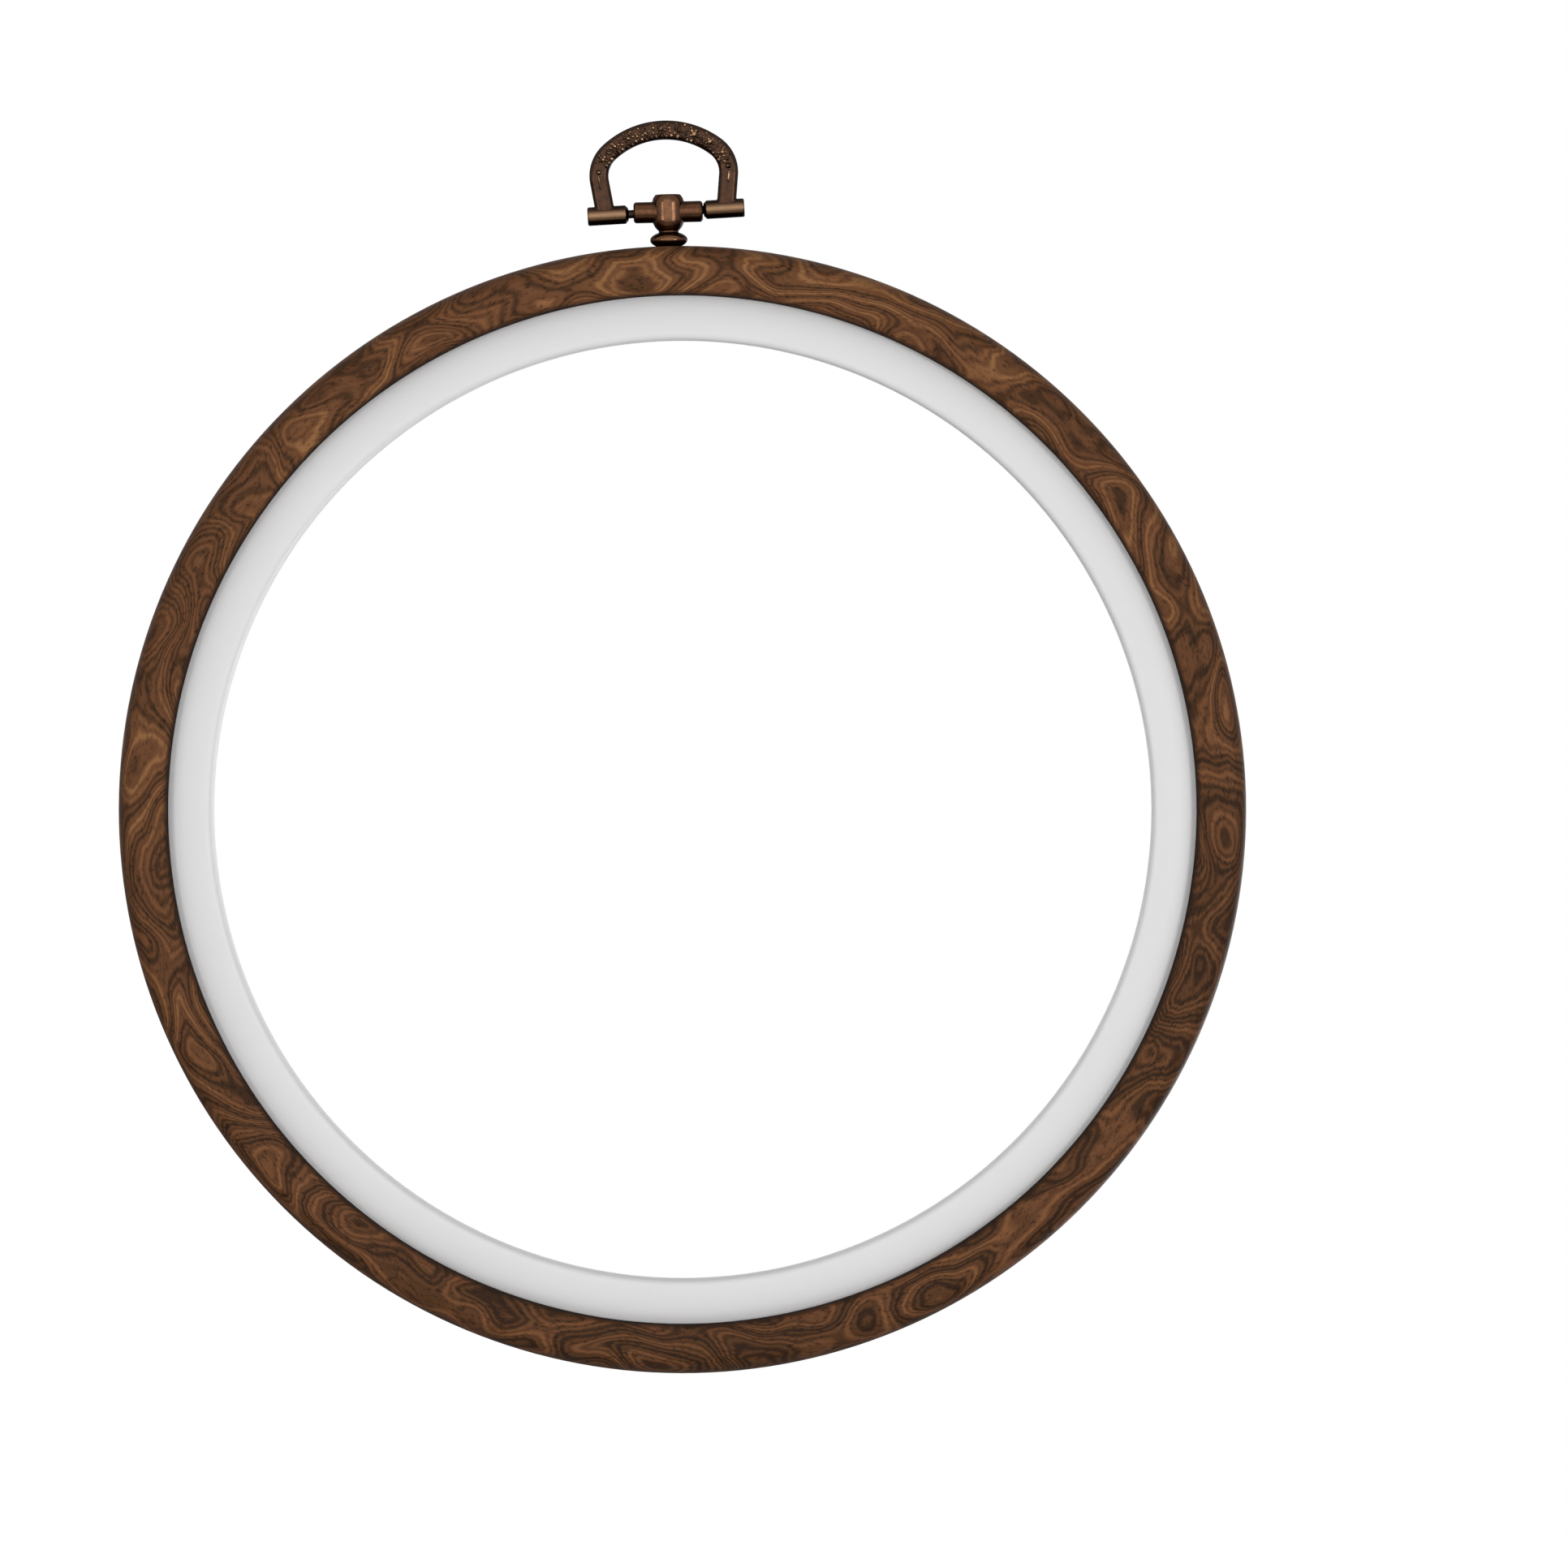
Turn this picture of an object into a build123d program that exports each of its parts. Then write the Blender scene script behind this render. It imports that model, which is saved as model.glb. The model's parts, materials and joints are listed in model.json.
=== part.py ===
# Flexible embroidery hoop: a soft outer ring printed as dark wood grips a stiff white inner ring,
# and a cast bronze hanger is screwed through the top of the outer ring.
# Frame: millimetres, origin at the centre of the hoop, the hoop's axis along Y with its front
# towards -Y, and +Z up through the hanger. Each piece is one solid in a STEP file of its own.
from math import acos, atan2, cos, degrees, radians, sin, tan
import os

from build123d import *

# Outer ring: moulded flexible vinyl, with a lip at the front that overhangs the inner ring
RING_DIAMETER = 147.6
RING_DEPTH = 10.0
RIM_WIDTH = 6.6
LIP_THICKNESS = 1.7
REBATE_DEPTH = 2.2
FRONT_CROWN = 0.35
SIDE_CROWN = 0.25
FRONT_OUTER_ROUND = 1.8
BACK_OUTER_ROUND = 1.5
LIP_FRONT_ROUND = 0.8
LIP_BACK_ROUND = 0.4
REBATE_BACK_ROUND = 0.4
POST_SEAT_DEPTH = 0.15

# Inner ring: stiff moulded plastic, a domed channel that is open at the back
WHITE_BAND = 5.7
CLOTH_GAP = 0.2
CHANNEL_WALL = 1.6
CROWN_SETBACK = 0.6
BACK_SETBACK = 0.3
NOSE_ROUND = 0.8
SHOULDER_ROUND = 0.5
CHANNEL_ROUND = 0.5
WALL_END_ROUND = 0.35

# Hanger post: one casting with a foot bead, a neck, a rounded body and two side bosses
FOOT_RADIUS = 1.5
BEAD_RADIUS = 2.45
BEAD_HEIGHT = 1.9
NECK_RADIUS = 1.3
NECK_HEIGHT = 0.25
BODY_RADIUS = 2.07
BODY_TOP_RADIUS = 1.6
BODY_BELOW_PIVOT = 2.45
BODY_ABOVE_PIVOT = 2.3
BODY_SIDE_BELOW = 0.9
BODY_SIDE_ABOVE = 1.2
BOSS_RADIUS = 1.38
BOSS_REACH = 4.53
BOSS_CHAMFER = 0.2
POST_SEAT_MARGIN = 0.15

# Fixing screw and washer, put in from inside the outer ring
SCREW_RADIUS = 0.98
SCREW_ENGAGEMENT = 2.5
SCREW_TIP_CHAMFER = 0.25
HEAD_RADIUS = 1.9
HEAD_HEIGHT = 1.2
HEAD_ROUND = 0.45
HEAD_SETBACK = 0.15
SLOT_WIDTH = 0.5
SLOT_DEPTH = 0.6
WASHER_RADIUS = 2.1
WASHER_THICKNESS = 0.3
WASHER_PLAY = 0.12
POCKET_PLAY = 0.2
THREAD_PLAY = 0.02
TAP_RUNOUT = 0.4

# Hanger loop: one casting, a D-shaped bow on two barrels that end in stub pins
BOW_HALF_WIDTH = 8.5
BOW_HEIGHT = 10.75
BOW_ARCH_RISE = 1.55
BOW_SHOULDER_RADIUS = 4.2
BOW_WIDTH = 2.5
BOW_THICKNESS = 2.0
BOW_EDGE_ROUND = 0.7
BARREL_RADIUS = 1.22
BARREL_LENGTH = 5.35
BARREL_GAP = 0.4
BARREL_INNER_CHAMFER = 0.4
BARREL_OUTER_CHAMFER = 0.15
STUB_RADIUS = 0.55
STUB_LENGTH = 2.3
STUB_CHAMFER = 0.12
STUB_PLAY = 0.25
# The bow's legs lean out by this angle, and the loop sits crooked in the play of its stub pins
LEG_ANGLE = 7.5
LOOP_LEAN = 2.0
LOOP_SIDE_SHIFT = 0.28

# How far every cutter runs past what it cuts
OVERRUN = 1.0

# Places that follow from the sizes above
ring_radius = RING_DIAMETER / 2
front = -RING_DEPTH / 2
back = RING_DEPTH / 2
lip_radius = ring_radius - RIM_WIDTH
lip_back = front + LIP_THICKNESS
rebate_radius = lip_radius + REBATE_DEPTH
bore_radius = lip_radius - WHITE_BAND
seat_height = ring_radius - POST_SEAT_DEPTH
neck_base = seat_height + BEAD_HEIGHT
body_base = neck_base + NECK_HEIGHT
pivot_height = body_base + BODY_BELOW_PIVOT
head_face = rebate_radius + HEAD_SETBACK
washer_base = head_face + HEAD_HEIGHT
pocket_floor = washer_base + WASHER_THICKNESS
barrel_start = BOSS_REACH + BARREL_GAP
barrel_end = barrel_start + BARREL_LENGTH


def rod(radius, start, end):
    """Round bar from one point to another."""
    along = Vector(*end) - Vector(*start)
    upwards = (Align.CENTER, Align.CENTER, Align.MIN)
    return Plane(origin=start, z_dir=along) * Cylinder(radius, along.length, align=upwards)


def corner_fillets(section, corners):
    """The section with a fillet at each listed corner, given as a place and a radius."""
    for place, radius in corners:
        section = fillet(section.vertices().sort_by_distance(place)[0], radius)
    return section


def end_edge(bar, axis, side):
    """The round edge at the end of a bar that lies furthest along an axis, or back along it."""
    return bar.edges().filter_by(GeomType.CIRCLE).sort_by(axis)[-1 if side > 0 else 0]


def outer_ring():
    """Rim with a crowned front and side, a rebate behind its lip, and the screw's pocket and hole."""
    side = ring_radius - SIDE_CROWN
    face = front + FRONT_CROWN
    section = make_face([
        ThreePointArc((lip_radius, face), ((lip_radius + side) / 2, front), (side, face)),
        ThreePointArc((side, face), (ring_radius, 0), (side, back)),
        Line((side, back), (rebate_radius, back)),
        Line((rebate_radius, back), (rebate_radius, lip_back)),
        Line((rebate_radius, lip_back), (lip_radius, lip_back)),
        Line((lip_radius, lip_back), (lip_radius, face)),
    ])
    section = corner_fillets(section, [
        ((lip_radius, face), LIP_FRONT_ROUND),
        ((side, face), FRONT_OUTER_ROUND),
        ((side, back), BACK_OUTER_ROUND),
        ((rebate_radius, back), REBATE_BACK_ROUND),
        ((lip_radius, lip_back), LIP_BACK_ROUND),
    ])
    ring = revolve(section, Axis.Y, 360)
    hole = rod(SCREW_RADIUS + WASHER_PLAY, (0, 0, rebate_radius), (0, 0, ring_radius + OVERRUN))
    pocket = rod(WASHER_RADIUS + POCKET_PLAY, (0, 0, rebate_radius - CLOTH_GAP), (0, 0, pocket_floor))
    seat = rod(BEAD_RADIUS + POST_SEAT_MARGIN, (0, 0, seat_height), (0, 0, ring_radius + OVERRUN))
    return ring - hole - pocket - seat


def inner_ring():
    """Channel-shaped ring: a straight bore, a round nose, and a dome that runs under the lip."""
    radius = rebate_radius - CLOTH_GAP
    shoulder = lip_back + CLOTH_GAP
    dome_radius = lip_radius - CLOTH_GAP
    crown = front + CROWN_SETBACK
    end = back - BACK_SETBACK
    channel_in = bore_radius + CHANNEL_WALL
    channel_out = radius - CHANNEL_WALL
    crown_radius = bore_radius + NOSE_ROUND
    section = make_face([
        TangentArc((crown_radius, crown), (dome_radius, shoulder), tangent=(1, 0)),
        Line((dome_radius, shoulder), (radius, shoulder)),
        Line((radius, shoulder), (radius, end)),
        Line((radius, end), (channel_out, end)),
        Line((channel_out, end), (channel_out, shoulder + CHANNEL_WALL)),
        Line((channel_out, shoulder + CHANNEL_WALL), (channel_in, crown + CHANNEL_WALL)),
        Line((channel_in, crown + CHANNEL_WALL), (channel_in, end)),
        Line((channel_in, end), (bore_radius, end)),
        Line((bore_radius, end), (bore_radius, crown + NOSE_ROUND)),
        TangentArc((bore_radius, crown + NOSE_ROUND), (crown_radius, crown), tangent=(0, -1)),
    ])
    section = corner_fillets(section, [
        ((radius, shoulder), SHOULDER_ROUND),
        ((channel_out, shoulder + CHANNEL_WALL), CHANNEL_ROUND),
        ((channel_in, crown + CHANNEL_WALL), CHANNEL_ROUND),
        ((radius, end), WALL_END_ROUND),
        ((channel_out, end), WALL_END_ROUND),
        ((channel_in, end), WALL_END_ROUND),
        ((bore_radius, end), WALL_END_ROUND),
    ])
    return revolve(section, Axis.Y, 360)


def hanger_post():
    """Turned-looking casting on the ring's top: bead, neck, body, side bosses and their cross bore."""
    body_top = pivot_height + BODY_ABOVE_PIVOT
    side_low = pivot_height - BODY_SIDE_BELOW
    side_high = pivot_height + BODY_SIDE_ABOVE
    bead_top = acos(NECK_RADIUS / BEAD_RADIUS)
    bead_bottom = -acos(FOOT_RADIUS / BEAD_RADIUS)
    bead_middle = (seat_height + neck_base) / 2
    bead_half_height = (neck_base - bead_middle) / sin(bead_top)
    bead_foot = bead_middle + bead_half_height * sin(bead_bottom)
    bead = Plane.XZ * EllipticalCenterArc((0, bead_middle), BEAD_RADIUS, bead_half_height,
                                          degrees(bead_bottom), arc_size=degrees(bead_top - bead_bottom))
    section = make_face([
        Line((0, 0, seat_height), (FOOT_RADIUS, 0, seat_height)),
        Line((FOOT_RADIUS, 0, seat_height), (FOOT_RADIUS, 0, bead_foot)),
        bead,
        Line((NECK_RADIUS, 0, neck_base), (NECK_RADIUS, 0, body_base)),
        TangentArc((BODY_RADIUS, 0, side_low), (NECK_RADIUS, 0, body_base), tangent=(0, 0, -1)),
        Line((BODY_RADIUS, 0, side_low), (BODY_RADIUS, 0, side_high)),
        TangentArc((BODY_RADIUS, 0, side_high), (BODY_TOP_RADIUS, 0, body_top), tangent=(0, 0, 1)),
        Line((BODY_TOP_RADIUS, 0, body_top), (0, 0, body_top)),
        Line((0, 0, body_top), (0, 0, seat_height)),
    ])
    turned = revolve(section, Axis.Z, 360)
    bosses = rod(BOSS_RADIUS, (-BOSS_REACH, 0, pivot_height), (BOSS_REACH, 0, pivot_height))
    bosses = chamfer(bosses.edges().filter_by(GeomType.CIRCLE), BOSS_CHAMFER)
    bore_reach = BOSS_REACH + OVERRUN
    bore = rod(STUB_RADIUS + STUB_PLAY, (-bore_reach, 0, pivot_height), (bore_reach, 0, pivot_height))
    tap_end = seat_height + SCREW_ENGAGEMENT + TAP_RUNOUT
    tapped_hole = rod(SCREW_RADIUS + THREAD_PLAY, (0, 0, seat_height - OVERRUN), (0, 0, tap_end))
    return turned + bosses - bore - tapped_hole


def fixing_screw():
    """Slotted pan-head screw: its head lies in the ring's pocket and its shank runs up into the post."""
    head = rod(HEAD_RADIUS, (0, 0, head_face), (0, 0, washer_base))
    head = fillet(end_edge(head, Axis.Z, -1), HEAD_ROUND)
    shank = rod(SCREW_RADIUS, (0, 0, washer_base), (0, 0, seat_height + SCREW_ENGAGEMENT))
    shank = chamfer(end_edge(shank, Axis.Z, 1), SCREW_TIP_CHAMFER)
    slot_length = 2 * (HEAD_RADIUS + OVERRUN)
    slot = Pos(0, 0, head_face) * Box(slot_length, SLOT_WIDTH, 2 * SLOT_DEPTH)
    return head + shank - slot


def screw_washer():
    """Flat washer between the screw's head and the floor of the pocket."""
    disc = rod(WASHER_RADIUS, (0, 0, washer_base), (0, 0, pocket_floor))
    bore = rod(SCREW_RADIUS + WASHER_PLAY, (0, 0, head_face), (0, 0, ring_radius))
    return disc - bore


def bow():
    """Half-round D of constant section: two legs that lean out, two shoulders and a flatter arch."""
    shoulder_x = BOW_HALF_WIDTH - BOW_SHOULDER_RADIUS
    shoulder_z = BOW_HEIGHT - BOW_ARCH_RISE - BOW_SHOULDER_RADIUS
    arch_drop = (shoulder_x ** 2 - BOW_ARCH_RISE ** 2) / (2 * BOW_ARCH_RISE)
    arch_radius = BOW_SHOULDER_RADIUS + BOW_ARCH_RISE + arch_drop
    arch_half_angle = atan2(shoulder_x, arch_drop)
    arch_centre = BOW_HEIGHT - arch_radius
    lean = radians(LEG_ANGLE)
    leg_top_x = shoulder_x + BOW_SHOULDER_RADIUS * cos(lean)
    leg_top_z = shoulder_z - BOW_SHOULDER_RADIUS * sin(lean)
    leg_foot = (leg_top_x - leg_top_z * tan(lean), 0, 0)
    leg_top = (leg_top_x, 0, leg_top_z)
    arch_end_x = arch_radius * sin(arch_half_angle)
    arch_end_z = arch_centre + arch_radius * cos(arch_half_angle)
    leg = Line(leg_foot, leg_top)
    shoulder = TangentArc(leg_top, (arch_end_x, 0, arch_end_z), tangent=(sin(lean), 0, cos(lean)))
    arch = ThreePointArc((arch_end_x, 0, arch_end_z), (0, 0, BOW_HEIGHT), (-arch_end_x, 0, arch_end_z))
    route = Wire([leg.edge(), shoulder.edge(), arch.edge(),
                  mirror(shoulder, Plane.YZ).edge(), mirror(leg, Plane.YZ).edge()])
    start = Plane(origin=leg_foot, x_dir=(0, 1, 0), z_dir=(sin(lean), 0, cos(lean)))
    return sweep(start * RectangleRounded(BOW_THICKNESS, BOW_WIDTH, BOW_EDGE_ROUND), route)


def barrel():
    """Barrel under the right leg, with the stub pin that enters the post's boss."""
    body = rod(BARREL_RADIUS, (barrel_start, 0, 0), (barrel_end, 0, 0))
    body = chamfer(end_edge(body, Axis.X, -1), BARREL_INNER_CHAMFER)
    body = chamfer(end_edge(body, Axis.X, 1), BARREL_OUTER_CHAMFER)
    stub = rod(STUB_RADIUS, (barrel_start - STUB_LENGTH, 0, 0), (barrel_start + STUB_RADIUS, 0, 0))
    stub = chamfer(end_edge(stub, Axis.X, -1), STUB_CHAMFER)
    return body + stub


def hanger_loop():
    """The bow and its two barrels, crooked by their play in the post."""
    right = barrel()
    loop = bow() + right + mirror(right, Plane.YZ)
    return Pos(-LOOP_SIDE_SHIFT, 0, pivot_height) * Rot(0, -LOOP_LEAN, 0) * loop


pieces = {
    "outer_ring": outer_ring(),
    "inner_ring": inner_ring(),
    "hanger_post": hanger_post(),
    "fixing_screw": fixing_screw(),
    "screw_washer": screw_washer(),
    "hanger_loop": hanger_loop(),
}

os.makedirs("parts", exist_ok=True)
for name, solid in pieces.items():
    export_step(solid, f"parts/{name}.step")
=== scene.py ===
"""Looks of a flexible embroidery hoop: a printed vinyl rim, a milky white inner ring and a bronze hanger.

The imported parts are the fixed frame. Sizes here are millimetres unless a name says otherwise, and
every mesh is written in metres in the same frame: the hoop's axis along Y, its front towards -Y.
"""
import json
import logging
from dataclasses import dataclass, field
from enum import Enum
from math import acos, asin, atan2, cos, degrees, pi, radians, sin, sqrt, tan
from random import Random

import bmesh
import bpy
from bmesh.types import BMEdge, BMesh
from bpy.types import ID, Material, Node, NodeSocket, NodeTree, Object
from mathutils import Matrix, Vector

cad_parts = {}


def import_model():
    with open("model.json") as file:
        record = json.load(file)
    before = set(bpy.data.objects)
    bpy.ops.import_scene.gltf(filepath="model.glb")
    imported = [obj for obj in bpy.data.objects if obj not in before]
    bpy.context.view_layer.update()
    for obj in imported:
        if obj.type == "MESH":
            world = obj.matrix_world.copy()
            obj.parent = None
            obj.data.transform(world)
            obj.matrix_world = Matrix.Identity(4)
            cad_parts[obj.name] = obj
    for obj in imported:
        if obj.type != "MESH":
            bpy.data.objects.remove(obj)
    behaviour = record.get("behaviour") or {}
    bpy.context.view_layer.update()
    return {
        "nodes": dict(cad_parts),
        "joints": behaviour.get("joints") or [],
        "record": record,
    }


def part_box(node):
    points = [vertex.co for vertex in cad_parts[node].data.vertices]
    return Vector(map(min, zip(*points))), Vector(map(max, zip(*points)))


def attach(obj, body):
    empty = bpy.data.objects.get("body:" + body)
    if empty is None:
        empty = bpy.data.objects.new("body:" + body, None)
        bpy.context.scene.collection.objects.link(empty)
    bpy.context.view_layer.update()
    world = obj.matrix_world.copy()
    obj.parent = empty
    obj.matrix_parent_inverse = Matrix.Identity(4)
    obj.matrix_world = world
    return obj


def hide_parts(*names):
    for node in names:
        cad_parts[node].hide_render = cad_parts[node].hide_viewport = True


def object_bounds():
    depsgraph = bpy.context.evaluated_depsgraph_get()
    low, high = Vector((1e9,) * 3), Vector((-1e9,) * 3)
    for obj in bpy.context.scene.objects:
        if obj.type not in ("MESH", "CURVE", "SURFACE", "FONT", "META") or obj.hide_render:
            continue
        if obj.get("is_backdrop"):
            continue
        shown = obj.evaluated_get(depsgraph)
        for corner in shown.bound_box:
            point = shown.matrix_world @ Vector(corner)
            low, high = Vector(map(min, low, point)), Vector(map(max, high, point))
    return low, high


LOG = logging.getLogger("hoop")
MM = 0.001
PICTURE_WIDTH_PX = 1932
PICTURE_HEIGHT_PX = 1905
SHARP_ANGLE = 40.0
RIGHT_ANGLE = 90.0
RING_STEPS = 240
TURNED_STEPS = 64
WHITE = (1.0, 1.0, 1.0, 1.0)
UNIT_SPAN = (0.0, 1.0)
ON_END = Matrix.Rotation(pi / 2, 4, "X")
Pair = tuple[float, float]


def linear(hex_colour: str) -> tuple[float, float, float, float]:
    """Turns an sRGB hex colour into the linear colour that a shader takes, by the standard's own curve.

    Args:
        hex_colour: six hex digits with a leading hash.

    Returns:
        Red, green, blue and an alpha of one.
    """
    shares = [int(hex_colour[i:i + 2], 16) / 255 for i in (1, 3, 5)]
    red, green, blue = [s / 12.92 if s <= 0.04045 else ((s + 0.055) / 1.055) ** 2.4 for s in shares]
    return red, green, blue, 1.0


@dataclass(frozen=True)
class FineTexture:
    """Fine unevenness of a surface: blots in a metre, octaves, strength, and depth in millimetres."""

    blots: float
    detail: float
    strength: float
    depth: float


class Sheet:
    """A node tree, with a short way to add each kind of node that the finishes need."""

    def __init__(self, tree: NodeTree) -> None:
        """Starts from an emptied tree."""
        tree.nodes.clear()
        self.tree = tree

    def add(self, kind: str, inputs: dict | None = None, **settings) -> Node:
        """Adds a node, sets it up and links it.

        Args:
            kind: Blender's name for the node type, after the words that all of them start with.
            inputs: value or output socket for each input, by its name or number.
            settings: attributes of the node itself.

        Returns:
            The new node.
        """
        node = self.tree.nodes.new("ShaderNode" + kind)
        for name, value in settings.items():
            setattr(node, name, value)
        for key, value in (inputs or {}).items():
            if isinstance(value, NodeSocket):
                self.tree.links.new(value, node.inputs[key])
            else:
                node.inputs[key].default_value = value
        return node

    def get(self, kind: str, inputs: dict | None = None, output: int | str = 0, **settings) -> NodeSocket:
        """Adds a node as add does, and returns one of its outputs, by its name or number."""
        return self.add(kind, inputs, **settings).outputs[output]

    def math(self, operation: str, *numbers: NodeSocket | float, clamped: bool = False) -> NodeSocket:
        """Works out a number from one, two or three others."""
        return self.get("Math", dict(enumerate(numbers)), operation=operation, use_clamp=clamped)

    def vector(self, operation: str, inputs: dict, output: int | str = 0) -> NodeSocket:
        """Works out a vector, or the value of one."""
        return self.get("VectorMath", inputs, output, operation=operation)

    def span(self, value: NodeSocket, reach: Pair, levels: Pair = UNIT_SPAN,
             smooth: bool = False) -> NodeSocket:
        """Follows a value with another one that stays level outside its reach.

        Args:
            value: the value that is followed.
            reach: where it starts to count, and where it has its full effect.
            levels: the result at those two places.
            smooth: whether the result eases in and out.

        Returns:
            The result's socket.
        """
        inputs = dict(enumerate((value, *reach, *levels)))
        return self.get("MapRange", inputs, interpolation_type="SMOOTHSTEP" if smooth else "LINEAR")

    def blend(self, share: NodeSocket, first: NodeSocket | str, second: str) -> NodeSocket:
        """Blends a share of the second colour into the first."""
        start = linear(first) if isinstance(first, str) else first
        return self.get("Mix", {0: share, 6: start, 7: linear(second)}, 2, data_type="RGBA")

    def noise(self, spot: NodeSocket, blots: float, detail: float, roughness: float = 0.5) -> NodeSocket:
        """Even noise with this many blots in a metre."""
        inputs = {"Vector": spot, "Scale": blots, "Detail": detail, "Roughness": roughness}
        return self.get("TexNoise", inputs)

    def bump(self, height: NodeSocket, strength: float, depth: float, invert: bool = False) -> NodeSocket:
        """Embosses a surface, to a depth in millimetres."""
        inputs = {"Height": height, "Strength": strength, "Distance": depth * MM}
        return self.get("Bump", inputs, invert=invert)

    def emboss(self, spot: NodeSocket, texture: FineTexture) -> NodeSocket:
        """Embosses a surface with a fine even texture."""
        height = self.noise(spot, texture.blots, texture.detail)
        return self.bump(height, texture.strength, texture.depth)


class Coating(Sheet):
    """A material, whose node tree feeds one Principled shader."""

    def __init__(self, name: str) -> None:
        """Makes the empty material."""
        self.material = bpy.data.materials.new(name)
        self.material.use_nodes = True
        super().__init__(self.material.node_tree)

    def spot(self) -> NodeSocket:
        """The position on the piece, in metres."""
        return self.get("TexCoord", output="Object")

    def done(self, inputs: dict) -> Material:
        """Adds the shader with its inputs, and returns the finished material."""
        self.add("OutputMaterial", {"Surface": self.get("BsdfPrincipled", inputs)})
        return self.material


def easing_arc(reach: float, sag: float) -> Pair:
    """Radius, and angle in degrees, of an arc that starts level and sags this far over its reach."""
    radius = (reach ** 2 + sag ** 2) / (2 * sag)
    return radius, degrees(asin(reach / radius))


def add_object(name: str, data: ID) -> Object:
    """Puts a new object into the scene."""
    thing = bpy.data.objects.new(name, data)
    bpy.context.scene.collection.objects.link(thing)
    return thing


def to_object(mesh: BMesh, name: str) -> Object:
    """Writes a bmesh drawn in millimetres to a new object in metres, smooth but for its sharp edges.

    Args:
        mesh: the finished bmesh, which is freed.
        name: the piece's name.

    Returns:
        The new object, at the origin.
    """
    bmesh.ops.scale(mesh, vec=(MM, MM, MM), verts=mesh.verts)
    data = bpy.data.meshes.new(name)
    mesh.to_mesh(data)
    mesh.free()
    data.shade_smooth()
    data.set_sharp_from_angle(angle=radians(SHARP_ANGLE))
    return add_object(name, data)


def dress(piece: Object, material: Material) -> None:
    """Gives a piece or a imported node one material, through its object's slots."""
    if not piece.material_slots:
        piece.data.materials.append(material)
    for slot in piece.material_slots:
        slot.link = "OBJECT"
        slot.material = material


@dataclass(frozen=True)
class Grain:
    """Noise on the ring: how long its blots are along it, how wide across it, its octaves and roughness."""

    length: float
    width: float
    detail: float = 1.0
    roughness: float = 0.4


class RingPlace:
    """Where a point lies on the ring, in millimetres, and noise that runs round it without a seam."""

    def __init__(self, coat: Coating, mid_radius: float) -> None:
        """Takes the position apart.

        Args:
            coat: the ring's coating.
            mid_radius: radius at which the noise has its true length.
        """
        self.coat = coat
        self.mid_radius = mid_radius
        scaled = coat.vector("SCALE", {0: coat.spot(), "Scale": 1 / MM})
        self.rightwards, self.depth, self.upwards = coat.add("SeparateXYZ", {0: scaled}).outputs
        flat = coat.get("CombineXYZ", {0: self.rightwards, 2: self.upwards})
        self.radius = coat.vector("LENGTH", {0: flat}, "Value")
        self.outwards = coat.vector("NORMALIZE", {0: flat})

    def noise(self, grain: Grain, slip: NodeSocket | float = 0.0) -> NodeSocket:
        """Noise that is stretched along the ring.

        Args:
            grain: the noise's size and roughness.
            slip: distance that it is moved across the ring, which slants it where it changes.

        Returns:
            The noise's value socket.
        """
        coat = self.coat
        around = coat.vector("SCALE", {0: self.outwards, "Scale": self.mid_radius / grain.length})
        across = coat.math("DIVIDE", coat.math("ADD", self.radius, slip), grain.width)
        spot = coat.vector("ADD", {0: around, 1: coat.get("CombineXYZ", {1: across})})
        inputs = {"Vector": spot, "W": coat.math("DIVIDE", self.depth, grain.width), "Scale": 1.0,
                  "Detail": grain.detail, "Roughness": grain.roughness}
        return coat.get("TexNoise", inputs, noise_dimensions="4D")


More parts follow.
